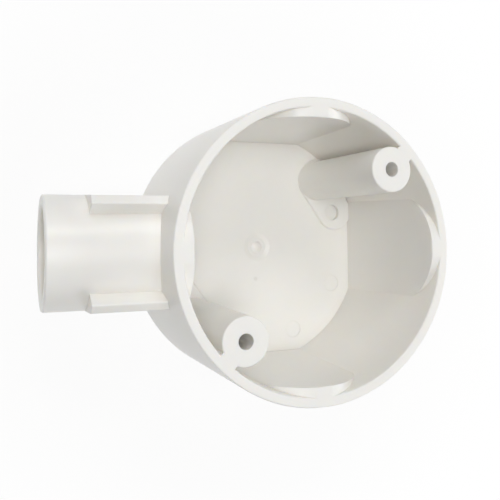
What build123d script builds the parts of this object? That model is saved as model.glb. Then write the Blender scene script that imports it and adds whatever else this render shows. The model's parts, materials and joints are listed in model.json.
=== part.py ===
from build123d import *
import os
from math import atan2, degrees

# Round one-way conduit junction box, moulded in one piece of rigid PVC, without its lid.
# The origin is the centre of the flat back. +Z points out of the open mouth, and the
# conduit spout points along -X.

# Bowl
box_height = 37.2
rim_outer_radius = 33.1
rim_wall = 2.15
floor_thickness = 2.0
# Growth of the outer radius from the rim to the back, and shrinkage of the inner one
outer_flare = 0.35
cavity_taper = 0.4
back_edge_bevel = 0.6
rim_edge_bevel = 0.2

# Lid screw pillars, on one diagonal, each tied to the wall by a web. The inset from the rim's
# outside puts the screws at the standard 50.8 mm from each other.
screw_inset = 7.7
pillar_direction = 45.0
screw_hole_diameter = 3.3
screw_hole_depth = 18.0
pillar_top_diameter = 10.35
pillar_foot_diameter = 10.65
web_width = 4.2

# Flat pads on the four ways. Each ends in a round arch that just passes the rim.
pad_depth = 2.55
pad_lean = 0.7
pad_arch_radius = 12.8
pad_crown_above_rim = 0.12

# Raised teardrop at each pillar's foot, with a sunk spot to drill for a fixing screw. Its heel
# runs out past the pillar, so that no crevice is left between it and the wall.
foot_height = 0.7
foot_bevel = 0.3
foot_collar = 0.1
foot_heel = 1.0
foot_tip_diameter = 10.2
foot_tip_offset = (5.6, -8.45)
drill_spot_offset = (4.65, -8.75)
drill_spot_diameter = 4.3
drill_spot_depth = 1.1

# Moulding gate at the middle of the floor: a shallow dish with sloping sides and a low dome
gate_dish_diameter = 7.4
gate_dish_slope = 1.2
gate_dish_depth = 0.3
gate_dome_diameter = 3.0
gate_dome_height = 0.45

# Marks of two ejector pins on the floor, beside the pads across from the spout
ejector_mark_diameter = 4.4
ejector_mark_depth = 0.1
ejector_inset = 8.3
ejector_directions = (-25.0, -65.0)

# Conduit spout: a plain socket with a stop shoulder, then a narrower throat into the bowl
conduit_diameter = 20.0
conduit_clearance = 0.2
spout_wall = 2.5
spout_length = 23.1
spout_height_above_back = 2.75
socket_depth = 22.0
stop_step = 1.4
socket_lead_in = 0.4
spout_edge_bevel = 0.3

# Rails along both sides of the spout. The inner edge of each is level with the spout's crown,
# and its top falls outward.
rail_length = 14.2
rail_width = 1.75
rail_fall = 1.4
rail_inset = 0.6
rail_flank_lean = 8.6
rail_edge_radius = 0.3

# Places that follow from the sizes above
back_outer_radius = rim_outer_radius + outer_flare
cavity_rim_radius = rim_outer_radius - rim_wall
cavity_floor_radius = cavity_rim_radius - cavity_taper
cavity_depth = box_height - floor_thickness
# Inside features start in the middle of the floor and end in the middle of the wall
root_height = floor_thickness / 2
inside_height = box_height - root_height
wall_middle_radius = rim_outer_radius - rim_wall / 2

pillar_circle_radius = rim_outer_radius - screw_inset
pillar_shrink = (pillar_foot_diameter - pillar_top_diameter) / 2
pillar_draft = degrees(atan2(pillar_shrink, inside_height))

pad_floor_distance = cavity_floor_radius - pad_depth
pad_draft = degrees(atan2(pad_lean, cavity_depth))
arch_centre_height = box_height + pad_crown_above_rim - pad_arch_radius

web_length = wall_middle_radius - pillar_circle_radius
pillar_place = Vector(pillar_circle_radius, 0, 0).rotate(Axis.Z, pillar_direction)
foot_heel_place = pillar_place + pillar_place.normalized() * foot_heel
foot_tip_place = pillar_place + Vector(*foot_tip_offset)
drill_spot_place = pillar_place + Vector(*drill_spot_offset)
foot_top = floor_thickness + foot_height

ejector_circle_radius = rim_outer_radius - ejector_inset
gate_dish_floor = floor_thickness - gate_dish_depth
gate_dome_radius = gate_dome_diameter / 2
gate_dome_top = gate_dish_floor + gate_dome_height

socket_radius = (conduit_diameter + conduit_clearance) / 2
spout_radius = socket_radius + spout_wall
throat_radius = socket_radius - stop_step
spout_axis_height = spout_height_above_back + spout_radius
spout_reach = rim_outer_radius + spout_length
rail_reach = rim_outer_radius + rail_length
rail_top = spout_axis_height + spout_radius
rail_outer_top = spout_radius - rail_inset
rail_inner_top = rail_outer_top - rail_width

# Two bars crossing the bowl, whose ends are the arched outlines of the four pads
with BuildPart() as arch_bars:
    for crossing in (Plane.XZ, Plane.YZ):
        with BuildSketch(crossing):
            with Locations((0, arch_centre_height)):
                Circle(pad_arch_radius)
            with Locations((0, arch_centre_height / 2)):
                Rectangle(2 * pad_arch_radius, arch_centre_height)
        extrude(amount=wall_middle_radius, both=True)

# Four pads: what a leaning square cut leaves of a round plug, within the arched outlines
with BuildPart() as pads:
    with BuildSketch(Plane.XY.offset(root_height)):
        Circle(wall_middle_radius)
    extrude(amount=inside_height)
    with BuildSketch(Plane.XY.offset(floor_thickness)):
        Rectangle(2 * pad_floor_distance, 2 * pad_floor_distance)
    extrude(amount=cavity_depth, taper=-pad_draft, mode=Mode.SUBTRACT)
    add(arch_bars.part, mode=Mode.INTERSECT)

# Teardrop foot of one screw pillar
with BuildPart() as foot:
    with BuildSketch(Plane.XY.offset(root_height)):
        with Locations(pillar_place, foot_heel_place):
            Circle(pillar_foot_diameter / 2 + foot_collar)
        with Locations(foot_tip_place):
            Circle(foot_tip_diameter / 2)
        make_hull()
    extrude(amount=foot_top - root_height)
    chamfer(foot.faces().sort_by(Axis.Z)[-1].edges(), foot_bevel)

# One screw pillar with its web and its foot
with BuildPart() as pillar:
    with BuildSketch(Plane.XY.offset(root_height)):
        with PolarLocations(pillar_circle_radius, 1, start_angle=pillar_direction):
            Circle(pillar_foot_diameter / 2)
    extrude(amount=inside_height, taper=pillar_draft)
    with BuildSketch(Plane.XY.offset(root_height)):
        with PolarLocations(pillar_circle_radius + web_length / 2, 1, start_angle=pillar_direction):
            Rectangle(web_length, web_width)
    extrude(amount=inside_height)
    add(foot.part)

with BuildPart() as box_body:
    # Outside of the bowl
    with BuildSketch(Plane.XZ) as bowl_profile:
        with BuildLine():
            Polyline(
                (0, 0),
                (back_outer_radius, 0),
                (rim_outer_radius, box_height),
                (0, box_height),
                close=True,
            )
        make_face()
        chamfer(bowl_profile.vertices().sort_by(Axis.X)[-1], back_edge_bevel)
        chamfer(bowl_profile.vertices().group_by(Axis.Y)[-1].sort_by(Axis.X)[-1], rim_edge_bevel)
    revolve(axis=Axis.Z)

    # Spout, run in to the middle of the bowl, where the cavity then clears it
    with BuildSketch(Plane.YZ.offset(-spout_reach)):
        with Locations((0, spout_axis_height)):
            Circle(spout_radius)
    extrude(amount=spout_reach)

    # Side rails, which rise from the middle plane of the spout
    with BuildSketch(Plane.YZ.offset(-rail_reach)) as rail_profile:
        with BuildLine():
            Polyline(
                (rail_inner_top, rail_top),
                (rail_outer_top, rail_top - rail_fall),
                (spout_radius, spout_axis_height),
                (rail_inner_top - rail_flank_lean, spout_axis_height),
                close=True,
            )
        make_face()
        fillet(rail_profile.vertices().sort_by(Axis.Y)[-2:], rail_edge_radius)
        mirror(about=Plane.YZ)
    extrude(amount=rail_reach)

    # Cavity
    with BuildSketch(Plane.XZ):
        with BuildLine():
            Polyline(
                (0, floor_thickness),
                (cavity_floor_radius, floor_thickness),
                (cavity_rim_radius, box_height),
                (0, box_height),
                close=True,
            )
        make_face()
    revolve(axis=Axis.Z, mode=Mode.SUBTRACT)

    # Inside features, and the bevel that follows the whole outline of the mouth
    add(pads.part)
    add(pillar.part)
    add(pillar.part, rotation=(0, 0, 180))
    rim_face = box_body.faces().filter_by(Axis.Z).sort_by(Axis.Z)[-1]
    chamfer(rim_face.inner_wires()[0].edges(), rim_edge_bevel)

    # Conduit socket with its lead-in, the spout's bevelled end, and the throat through the wall
    chamfer(box_body.faces().sort_by(Axis.X)[0].outer_wire().edges(), spout_edge_bevel)
    with BuildSketch(Plane.YZ.offset(-spout_reach)):
        with Locations((0, spout_axis_height)):
            Circle(socket_radius)
    extrude(amount=socket_depth, mode=Mode.SUBTRACT)
    chamfer(box_body.faces().sort_by(Axis.X)[0].inner_wires()[0].edges(), socket_lead_in)
    with BuildSketch(Plane.YZ.offset(-spout_reach)):
        with Locations((0, spout_axis_height)):
            Circle(throat_radius)
    extrude(amount=spout_reach - pad_floor_distance, mode=Mode.SUBTRACT)

    # Screw holes, drill spots and ejector marks
    with Locations((0, 0, box_height)):
        with PolarLocations(pillar_circle_radius, 2, start_angle=pillar_direction):
            Hole(screw_hole_diameter / 2, screw_hole_depth)
    with Locations((0, 0, foot_top)):
        with Locations(drill_spot_place, -drill_spot_place):
            Hole(drill_spot_diameter / 2, drill_spot_depth)
    with Locations((0, 0, floor_thickness)):
        for direction in ejector_directions:
            with PolarLocations(ejector_circle_radius, 1, start_angle=direction):
                Hole(ejector_mark_diameter / 2, ejector_mark_depth)

    # Moulding gate: the dish, and its dome rooted in the floor
    with Locations((0, 0, floor_thickness)):
        Cone(
            gate_dish_diameter / 2 - gate_dish_slope,
            gate_dish_diameter / 2,
            gate_dish_depth,
            align=(Align.CENTER, Align.CENTER, Align.MAX),
            mode=Mode.SUBTRACT,
        )
    with BuildSketch(Plane.XZ):
        with BuildLine():
            TangentArc((0, gate_dome_top), (gate_dome_radius, gate_dish_floor), tangent=(1, 0))
            Polyline(
                (gate_dome_radius, gate_dish_floor),
                (gate_dome_radius, root_height),
                (0, root_height),
                (0, gate_dome_top),
            )
        make_face()
    revolve(axis=Axis.Z)

box_body.part.label = "box_body"

os.makedirs("parts", exist_ok=True)
export_step(box_body.part, "parts/box_body.step")
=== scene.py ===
"""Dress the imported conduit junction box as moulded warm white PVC, lying open on a white studio floor."""

import json
import logging
import math
from collections.abc import Mapping
from dataclasses import dataclass
from enum import Enum, IntEnum
from typing import Any

import bmesh
import bpy
from mathutils import Matrix, Vector


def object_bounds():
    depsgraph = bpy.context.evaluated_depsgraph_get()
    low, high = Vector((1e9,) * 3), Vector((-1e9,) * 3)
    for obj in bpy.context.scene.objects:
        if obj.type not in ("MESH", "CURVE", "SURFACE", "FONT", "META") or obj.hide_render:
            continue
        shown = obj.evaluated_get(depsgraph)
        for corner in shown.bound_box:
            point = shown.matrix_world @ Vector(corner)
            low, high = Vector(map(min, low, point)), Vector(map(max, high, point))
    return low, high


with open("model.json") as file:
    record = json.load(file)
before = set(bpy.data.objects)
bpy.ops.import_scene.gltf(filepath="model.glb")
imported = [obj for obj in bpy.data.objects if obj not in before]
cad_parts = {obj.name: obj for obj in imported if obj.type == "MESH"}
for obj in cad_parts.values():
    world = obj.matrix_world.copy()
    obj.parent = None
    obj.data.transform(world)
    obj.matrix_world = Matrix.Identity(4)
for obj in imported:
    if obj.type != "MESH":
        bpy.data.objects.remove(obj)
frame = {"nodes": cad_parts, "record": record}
cad_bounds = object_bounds()

LOG = logging.getLogger("conduit_box")

Colour = tuple[float, float, float]
Point = tuple[float, float, float]

METRE = 1.0
MM = 0.001
FULL = 1.0
NOISE_MIDDLE = 0.5
WHITE: Colour = (1.0, 1.0, 1.0)
KEEP_XY: Point = (1.0, 1.0, 0.0)
KEEP_YZ: Point = (0.0, 1.0, 1.0)
X_AXIS = Vector((1, 0, 0))
Y_AXIS = Vector((0, 1, 0))


class MathOp(Enum):
    """Operations that shader expressions turn into Math nodes."""

    ADD = "ADD"
    SUBTRACT = "SUBTRACT"
    MULTIPLY = "MULTIPLY"
    LARGER = "MAXIMUM"


class VectorOp(Enum):
    """Operations on coordinates, which are Vector Math nodes."""

    DISTANCE = "DISTANCE"
    MULTIPLY = "MULTIPLY"
    NORMALIZE = "NORMALIZE"


class MixSocket(IntEnum):
    """Sockets of a Mix node that mixes colours, by index."""

    SHARE = 0
    FIRST = 6
    SECOND = 7
    RESULT = 2


class RayKind(Enum):
    """Kinds of ray that see the studio as plain white, named as on the Light Path node."""

    CAMERA = "Is Camera Ray"
    GLOSSY = "Is Glossy Ray"
    TRANSMISSION = "Is Transmission Ray"


@dataclass(frozen=True)
class Wire:
    """An output socket, on which Python's operators add Math nodes.

    Attributes:
        sheet: The node sheet that the socket belongs to.
        socket: The output socket itself.
    """

    sheet: "NodeSheet"
    socket: bpy.types.NodeSocket

    def __add__(self, other: "Wire | float") -> "Wire":
        """Add a number or another wire."""
        return self.sheet.math(MathOp.ADD, self, other)

    def __radd__(self, other: float) -> "Wire":
        """Add this wire to a number."""
        return self.sheet.math(MathOp.ADD, other, self)

    def __sub__(self, other: "Wire | float") -> "Wire":
        """Take away a number or another wire."""
        return self.sheet.math(MathOp.SUBTRACT, self, other)

    def __rsub__(self, other: float) -> "Wire":
        """Take this wire away from a number."""
        return self.sheet.math(MathOp.SUBTRACT, other, self)

    def __mul__(self, other: "Wire | float") -> "Wire":
        """Multiply by a number or another wire."""
        return self.sheet.math(MathOp.MULTIPLY, self, other)

    def __rmul__(self, other: float) -> "Wire":
        """Multiply a number by this wire."""
        return self.sheet.math(MathOp.MULTIPLY, other, self)

    def __or__(self, other: "Wire | float") -> "Wire":
        """Take the larger of two values, which joins two masks."""
        return self.sheet.math(MathOp.LARGER, self, other)

    def __ror__(self, other: float) -> "Wire":
        """Take the larger of a number and this wire."""
        return self.sheet.math(MathOp.LARGER, other, self)


@dataclass(frozen=True)
class Made:
    """A node that was added to a sheet, whose outputs are read by name or index.

    Attributes:
        sheet: The node sheet that holds the node.
        node: The node itself.
    """

    sheet: "NodeSheet"
    node: bpy.types.Node

    def __getitem__(self, output: str | int) -> Wire:
        """Give a wire from one output."""
        return Wire(self.sheet, self.node.outputs[output])


@dataclass(frozen=True)
class Pattern:
    """A noise pattern in the resin or on its surface.

    Attributes:
        grain: Width of its patches, in the units of its coordinates.
        detail: How many finer layers it has.
        height: How far it stands out of the surface.
    """

    grain: float
    detail: float
    height: float = 0.0


class NodeSheet:
    """A node tree that is written as Python calls."""

    def __init__(self, tree: bpy.types.NodeTree) -> None:
        """Start from the tree of a material or of the world, emptied."""
        self.tree = tree
        self.tree.nodes.clear()

    def node(
        self,
        kind: str,
        settings: Mapping[str, Any] | None = None,
        inputs: Mapping[str | int, Any] | None = None,
    ) -> Made:
        """Add any node.

        Args:
            kind: Blender's identifier of the node.
            settings: The node's own properties, which are set first.
            inputs: A value or a wire for each input socket, by name or index.

        Returns:
            The node, whose outputs are read by name or index.
        """
        added = self.tree.nodes.new(kind)
        for name, value in (settings or {}).items():
            setattr(added, name, value)
        for name, value in (inputs or {}).items():
            if isinstance(value, Wire):
                self.tree.links.new(value.socket, added.inputs[name])
            else:
                added.inputs[name].default_value = value
        return Made(self, added)

    def math(self, operation: MathOp, *values: Wire | float) -> Wire:
        """Add a Math node on two values."""
        return self.node("ShaderNodeMath", {"operation": operation.value}, dict(enumerate(values)))["Value"]

    def vector(self, operation: VectorOp, *values: Wire | Point) -> Made:
        """Add a Vector Math node on one or two vectors."""
        return self.node("ShaderNodeVectorMath", {"operation": operation.value}, dict(enumerate(values)))

    def noise(self, place: Wire, pattern: Pattern) -> Wire:
        """Lay a noise pattern on coordinates, with values around its middle."""
        inputs = {"Vector": place, "Scale": 1 / pattern.grain, "Detail": pattern.detail}
        return self.node("ShaderNodeTexNoise", None, inputs)["Fac"]

    def blend(self, share: Wire, first: Wire | Colour, second: Wire | Colour) -> Wire:
        """Mix two colours, with the second one's share from 0 to 1.

        Args:
            share: How much of the second colour shows.
            first: The colour at a share of 0.
            second: The colour at a share of 1.

        Returns:
            A wire with the mixed colour.
        """
        inputs = {
            MixSocket.SHARE: share,
            MixSocket.FIRST: self.paint(first),
            MixSocket.SECOND: self.paint(second),
        }
        return self.node("ShaderNodeMix", {"data_type": "RGBA"}, inputs)[MixSocket.RESULT]

    def join(self, share: Wire, first: Wire, second: Wire) -> Wire:
        """Mix two shaders, with the second one's share from 0 to 1."""
        return self.node("ShaderNodeMixShader", None, dict(enumerate((share, first, second))))["Shader"]

    def ramp(self, value: Wire, zero_at: float, one_at: float) -> Wire:
        """Ease a value from 0 at one limit to 1 at the other."""
        limits = {"Value": value, "From Min": zero_at, "From Max": one_at}
        return self.node("ShaderNodeMapRange", {"interpolation_type": "SMOOTHSTEP"}, limits)["Result"]

    def near(self, place: Wire, centre: Point, core: float, edge: float) -> Wire:
        """Make a soft round mask about a point, 1 within the core's radius and 0 beyond the edge's."""
        distance = self.vector(VectorOp.DISTANCE, place, centre)["Value"]
        return self.ramp(distance, edge, core)

    def seen_as_white(self) -> Wire:
        """Mask the rays that see the studio as plain white, and leave out those that light the object."""
        path = self.node("ShaderNodeLightPath")
        return path[RayKind.CAMERA.value] | path[RayKind.GLOSSY.value] | path[RayKind.TRANSMISSION.value]

    @staticmethod
    def paint(colour: Wire | Colour) -> Any:
        """Give a colour its alpha where it is plain numbers."""
        return colour if isinstance(colour, Wire) else (*colour, FULL)


@dataclass(frozen=True)
class Socket:
    """The conduit socket, whose axis runs along X.

    Attributes:
        centre: The middle of its axis.
        radius: Its radius.
    """

    centre: Point
    radius: float


@dataclass(frozen=True)
class MouldedPvc:
    """Rigid PVC as it leaves the mould: warm white, softly glossy, with faint flow marks from the gate.

    Attributes:
        name: The material's name.
        colour: The plain colour of the resin.
        flow_colour: What the flow marks and patches tend to.
        patches: Broad patches in the resin.
        flow: Flow marks around the gate, on headings from it.
        flow_share: How much of the two the flow marks are.
        crease_shade_colour: Painted shade in narrow corners and creases, darker where a corner is more
            enclosed.
        crease_shade_reach: How far from a corner the painted crease shade fades.
        crease_shade_share: How much of it shows in the deepest corner.
        crease_shade_samples: How many rays look for corners.
        fleck_colour: A dark fleck in the resin.
        fleck_place: Where the fleck lies on the box's floor.
        fleck_core: Half the width of its darkest part.
        fleck_radius: Half the fleck's width.
        bore_shade_colour: Painted shade in the conduit socket and its throat, where little light reaches.
        bore_skin: How far into the socket's wall that shade is full.
        bore_edge: How far past that it fades.
        bore_outward: How far it reaches from the socket's middle towards the mouth.
        bore_inward: How far it reaches from the socket's middle through the throat.
        mouth_fade: Length over which it comes in at the mouth.
        throat_fade: Length over which it goes at the end of the throat.
        texture: The fine texture that the mould left.
        waves: Shallow sink waves.
        edge_round: Radius that softens every edge.
        edge_samples: How many rays look for edges.
        roughness: Roughness between the marks.
        roughness_swing: How far patches and flow marks move it.
        refraction: Index of refraction.
        depth_share: How much of the light goes below the surface before it leaves.
        depth_tint: How far it goes in red, green and blue, against the reach.
        depth_reach: How far it goes at most.
    """

    name: str = "moulded_pvc"
    colour: Colour = (0.95, 0.933, 0.894)
    flow_colour: Colour = (0.935, 0.918, 0.879)
    patches: Pattern = Pattern(grain=13 * MM, detail=3.0)
    flow: Pattern = Pattern(grain=1 / 9, detail=4.0)
    flow_share: float = 0.5
    crease_shade_colour: Colour = (0.80, 0.76, 0.69)
    crease_shade_reach: float = 2.5 * MM
    crease_shade_share: float = 0.35
    crease_shade_samples: int = 8
    fleck_colour: Colour = (0.85, 0.83, 0.785)
    fleck_place: Point = (-0.5 * MM, -8.45 * MM, 2.0 * MM)
    fleck_core: float = 0.24 * MM
    fleck_radius: float = 0.8 * MM
    bore_shade_colour: Colour = (0.72, 0.695, 0.635)
    bore_skin: float = 0.02 * MM
    bore_edge: float = 0.15 * MM
    bore_outward: float = 11.1 * MM
    bore_inward: float = 16.5 * MM
    mouth_fade: float = 1.5 * MM
    throat_fade: float = 1.0 * MM
    texture: Pattern = Pattern(grain=0.4 * MM, detail=2.0, height=0.0025 * MM)
    waves: Pattern = Pattern(grain=9 * MM, detail=1.0, height=0.02 * MM)
    edge_round: float = 0.25 * MM
    edge_samples: int = 6
    roughness: float = 0.33
    roughness_swing: float = 0.06
    refraction: float = 1.53
    depth_share: float = 0.4
    depth_tint: Colour = (1.0, 0.85, 0.65)
    depth_reach: float = 1.5 * MM

    def make(self, socket: Socket) -> bpy.types.Material:
        """Make the material.

        Args:
            socket: The conduit socket, which gets painted shade.

        Returns:
            The finished material.
        """
        material = bpy.data.materials.new(self.name)
        material.use_nodes = True
        sheet = NodeSheet(material.node_tree)
        place = sheet.node("ShaderNodeTexCoord")["Object"]
        marks = self.marks(sheet, place)
        plastic = sheet.node(
            "ShaderNodeBsdfPrincipled",
            None,
            {
                "Base Color": self.resin(sheet, place, marks, socket),
                "Roughness": self.roughness + (marks - NOISE_MIDDLE) * self.roughness_swing,
                "IOR": self.refraction,
                "Subsurface Weight": self.depth_share,
                "Subsurface Radius": self.depth_tint,
                "Subsurface Scale": self.depth_reach,
                "Normal": self.surface(sheet, place),
            },
        )["BSDF"]
        sheet.node("ShaderNodeOutputMaterial", None, {"Surface": plastic})
        return material

    def marks(self, sheet: NodeSheet, place: Wire) -> Wire:
        """Join broad patches with flow marks that run out from the gate and up the walls.

        Args:
            sheet: The material's node sheet.
            place: Object coordinates.

        Returns:
            A wire with values around the middle of the two patterns.
        """
        level = sheet.vector(VectorOp.MULTIPLY, place, KEEP_XY)["Vector"]
        heading = sheet.vector(VectorOp.NORMALIZE, level)["Vector"]
        flow = sheet.noise(heading, self.flow)
        patches = sheet.noise(place, self.patches)
        return patches * (1 - self.flow_share) + flow * self.flow_share

    def resin(self, sheet: NodeSheet, place: Wire, marks: Wire, socket: Socket) -> Wire:
        """Colour the resin: its marks, painted shade in its corners, painted shade in the socket and the
        fleck.

        Args:
            sheet: The material's node sheet.
            place: Object coordinates.
            marks: The patches and flow marks.
            socket: The conduit socket.

        Returns:
            A wire with the colour.
        """
        plain = sheet.blend(marks, self.colour, self.flow_colour)
        # Painted shade: ambient occlusion darkens the resin colour in narrow corners and creases.
        reach = {"Distance": self.crease_shade_reach}
        openness = sheet.node("ShaderNodeAmbientOcclusion", {"samples": self.crease_shade_samples}, reach)["AO"]
        crease_shaded = sheet.blend((1 - openness) * self.crease_shade_share, plain, self.crease_shade_colour)
        # Painted shade: the conduit socket and its throat are darkened.
        shaded = sheet.blend(self.bore(sheet, place, socket), crease_shaded, self.bore_shade_colour)
        fleck = sheet.near(place, self.fleck_place, self.fleck_core, self.fleck_radius)
        return sheet.blend(fleck, shaded, self.fleck_colour)

    def bore(self, sheet: NodeSheet, place: Wire, socket: Socket) -> Wire:
        """Mask the conduit socket and its throat for painted shade, since the light hardly reaches there.

        Args:
            sheet: The material's node sheet.
            place: Object coordinates.
            socket: The conduit socket.

        Returns:
            A wire that is 1 deep in the socket and 0 at its mouth and outside it.
        """
        middle, *across = socket.centre
        section = sheet.vector(VectorOp.MULTIPLY, place, KEEP_YZ)["Vector"]
        core = socket.radius + self.bore_skin
        within = sheet.near(section, (0.0, *across), core, core + self.bore_edge)
        along = sheet.node("ShaderNodeSeparateXYZ", None, {"Vector": place})["X"]
        mouth = middle - self.bore_outward
        throat = middle + self.bore_inward
        past_mouth = sheet.ramp(along, mouth, mouth + self.mouth_fade)
        before_end = sheet.ramp(along, throat, throat - self.throat_fade)
        return within * past_mouth * before_end

    def surface(self, sheet: NodeSheet, place: Wire) -> Wire:
        """Soften the edges, and add the mould's fine texture and shallow sink waves.

        Args:
            sheet: The material's node sheet.
            place: Object coordinates.

        Returns:
            A wire with the normal.
        """
        radius = {"Radius": self.edge_round}
        rounded = sheet.node("ShaderNodeBevel", {"samples": self.edge_samples}, radius)["Normal"]
        texture = sheet.noise(place, self.texture) * self.texture.height
        waves = sheet.noise(place, self.waves) * self.waves.height
        relief = {"Strength": FULL, "Distance": METRE, "Height": texture + waves, "Normal": rounded}
        return sheet.node("ShaderNodeBump", None, relief)["Normal"]


@dataclass(frozen=True)
class JunctionBox:
    """The one-piece junction box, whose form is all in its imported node.

    Attributes:
        node_name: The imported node.
        socket_name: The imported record's mount for the conduit.
        finish: The plastic that it is moulded from.
    """

    node_name: str = "box_body"
    socket_name: str = "conduit_socket"
    finish: MouldedPvc = MouldedPvc()

    def dress(self) -> bpy.types.Object:
        """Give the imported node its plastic.

        Returns:
            The dressed object.
        """
        body = frame["nodes"][self.node_name]
        body.data.materials.clear()
        body.data.materials.append(self.finish.make(self.find_socket()))
        return body

    def find_socket(self) -> Socket:
        """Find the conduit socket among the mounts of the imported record."""
        mount = next(mount for mount in frame["record"]["mounts"] if mount["name"] == self.socket_name)
        return Socket(tuple(mount["pos_m"]), mount["dims"]["r_mm"] * MM)


def stand(place: Point, back: Vector, side: Vector) -> Matrix:
    """Give the matrix of a lamp or camera that stands at a place, from unit vectors to its back and side."""
    turn = Matrix((side, back.cross(side), back)).transposed().to_4x4()
    return Matrix.Translation(place) @ turn


@dataclass(frozen=True)
class SoftLamp:
    """A rectangular soft box.

    Attributes:
        name: The lamp's name.
        place: Where it hangs.
        size: Its width along X and its other side.
        power: Its power in watts.
    """

    name: str
    place: Point
    size: tuple[float, float]
    power: float

    def hang(self, target: Vector) -> bpy.types.Object:
        """Hang the lamp, with its face towards a point.

        Args:
            target: The point that it lights.

        Returns:
            The lamp's object.
        """
        light = bpy.data.lights.new(self.name, "AREA")
        light.shape = "RECTANGLE"
        light.size, light.size_y = self.size
        light.energy = self.power
        lamp = bpy.data.objects.new(self.name, light)
        back = (Vector(self.place) - target).normalized()
        side = (X_AXIS - back * back.x).normalized()
        lamp.matrix_world = stand(self.place, back, side)
        bpy.context.scene.collection.objects.link(lamp)
        return lamp


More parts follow.
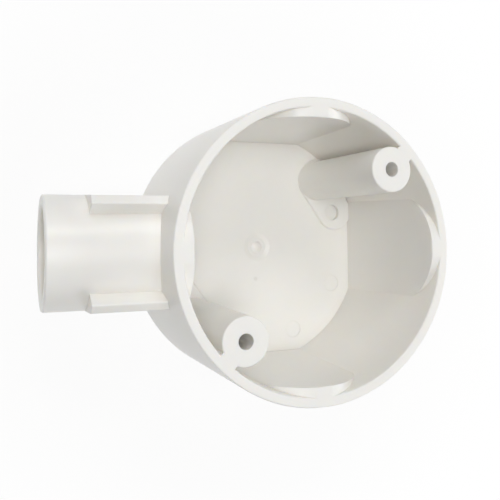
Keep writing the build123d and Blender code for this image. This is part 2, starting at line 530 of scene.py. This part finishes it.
@dataclass(frozen=True)
class Studio:
    """A white floor under soft boxes, with pale light all around.

    Attributes:
        floor_reach: Half the floor's width.
        floor_drop: How far the floor lies under the box's back, so that the two faces stay apart.
        floor_colour: The floor's colour to the light.
        shadow_share: How much of its own shade the floor shows beside the box, the rest being plain white.
        shadow_core: Distance from the box's middle up to which that share is whole.
        shadow_reach: Distance beyond which the floor is plain white.
        ambient: Strength of the light from all around.
        lamps: The soft boxes.
    """

    floor_reach: float = 2.0
    floor_drop: float = 0.02 * MM
    floor_colour: Colour = (0.9, 0.9, 0.89)
    shadow_share: float = 0.1
    shadow_core: float = 45 * MM
    shadow_reach: float = 110 * MM
    ambient: float = 0.125
    lamps: tuple[SoftLamp, ...] = (
        SoftLamp("overhead_box", (-0.21, 0.10, 0.785), (0.25, 0.2), 1.0),
        SoftLamp("camera_box", (-0.21, -0.10, 0.785), (0.25, 0.2), 1.0),
        SoftLamp("crown_box", (-0.13, 0.0, 0.805), (0.25, 0.2), 0.9),
        SoftLamp("window_box", (0.0, 0.565, 0.585), (0.25, 0.12), 0.85),
        SoftLamp("side_box", (-0.20, 0.68, 0.35), (0.25, 0.2), 0.85),
        SoftLamp("far_box", (0.73, 0.0, 0.30), (0.4, 0.4), 1.7),
        SoftLamp("fill_box", (0.345, -0.617, 0.382), (0.3, 0.25), 1.0),
    )

    def build(self, target: Vector) -> list[bpy.types.Object]:
        """Light the world, lay the floor and hang the lamps, which face the target."""
        self.light_world()
        return [self.lay_floor(target), *(lamp.hang(target) for lamp in self.lamps)]

    def lay_floor(self, target: Vector) -> bpy.types.Object:
        """Lay the floor as a plain white sheet that keeps the box's shadow.

        Args:
            target: The middle of the box.

        Returns:
            The floor's object.
        """
        mesh = bpy.data.meshes.new("studio_floor")
        shape = bmesh.new()
        bmesh.ops.create_grid(shape, x_segments=1, y_segments=1, size=self.floor_reach)
        bmesh.ops.translate(shape, verts=shape.verts, vec=(0, 0, -self.floor_drop))
        shape.to_mesh(mesh)
        shape.free()
        mesh.materials.append(self.make_floor_finish((target.x, target.y, -self.floor_drop)))
        floor = bpy.data.objects.new("studio_floor", mesh)
        bpy.context.scene.collection.objects.link(floor)
        return floor

    def make_floor_finish(self, centre: Point) -> bpy.types.Material:
        """Make the floor's material, matt to the light and white to the eye, with a faint shadow by the box.

        Args:
            centre: The point of the floor under the box's middle.

        Returns:
            The finished material.
        """
        material = bpy.data.materials.new("white_floor")
        material.use_nodes = True
        sheet = NodeSheet(material.node_tree)
        matt = sheet.node("ShaderNodeBsdfDiffuse", None, {"Color": sheet.paint(self.floor_colour)})["BSDF"]
        white = sheet.node("ShaderNodeEmission", None, {"Strength": FULL})["Emission"]
        place = sheet.node("ShaderNodeTexCoord")["Object"]
        beside = sheet.near(place, centre, self.shadow_core, self.shadow_reach)
        shown = sheet.join(sheet.seen_as_white() * (1 - beside * self.shadow_share), matt, white)
        sheet.node("ShaderNodeOutputMaterial", None, {"Surface": shown})
        return material

    def light_world(self) -> None:
        """Fill the surroundings with pale light, which is plain white to the eye."""
        world = bpy.data.worlds.new("studio_surroundings")
        world.use_nodes = True
        sheet = NodeSheet(world.node_tree)
        pale, plain = (
            sheet.node("ShaderNodeBackground", None, {"Color": sheet.paint(WHITE), "Strength": strength})
            for strength in (self.ambient, FULL)
        )
        shown = sheet.join(sheet.seen_as_white(), pale["Background"], plain["Background"])
        sheet.node("ShaderNodeOutputWorld", None, {"Surface": shown})
        bpy.context.scene.world = world


@dataclass(frozen=True)
class PhotoCamera:
    """The camera, above the spout's end and looking down into the box.

    Attributes:
        eye: Where the camera stands.
        aim: A point on the rim's level that its axis meets.
        roll: How far it leans about its axis, in degrees.
        lens: Focal length in millimetres.
        shift: Shift of the picture, as shares of its width.
        nearest: How close to the eye a thing is still drawn.
    """

    eye: Point = (-65.66 * MM, 4.82 * MM, 152.37 * MM)
    aim: Point = (-20.63 * MM, 9.30 * MM, 37.2 * MM)
    roll: float = -0.49
    lens: float = 44.115
    shift: tuple[float, float] = (0.0346, -0.0863)
    nearest: float = 1.0 * MM

    def place(self) -> bpy.types.Object:
        """Place the camera and make it the scene's own.

        Returns:
            The camera's object.
        """
        lens = bpy.data.cameras.new("photo_camera")
        lens.lens = self.lens
        lens.shift_x, lens.shift_y = self.shift
        lens.clip_start = self.nearest
        camera = bpy.data.objects.new("photo_camera", lens)
        back = (Vector(self.eye) - Vector(self.aim)).normalized()
        right = Y_AXIS.cross(back).normalized()
        roll = Matrix.Rotation(math.radians(self.roll), 4, "Z")
        camera.matrix_world = stand(self.eye, back, right) @ roll
        bpy.context.scene.collection.objects.link(camera)
        bpy.context.scene.camera = camera
        return camera


def main() -> None:
    """Dress the box, light it and place the camera."""
    logging.basicConfig(level=logging.INFO, format="%(name)s: %(message)s")
    bpy.context.scene.view_settings.view_transform = "Standard"
    body = JunctionBox().dress()
    LOG.info("dressed %s, %d faces", body.name, len(body.data.polygons))
    low, high = (Vector(corner) for corner in cad_bounds)
    for piece in Studio().build((low + high) / 2):
        LOG.info("set up %s", piece.name)
    LOG.info("placed %s", PhotoCamera().place().name)


if __name__ == "__main__":
    main()
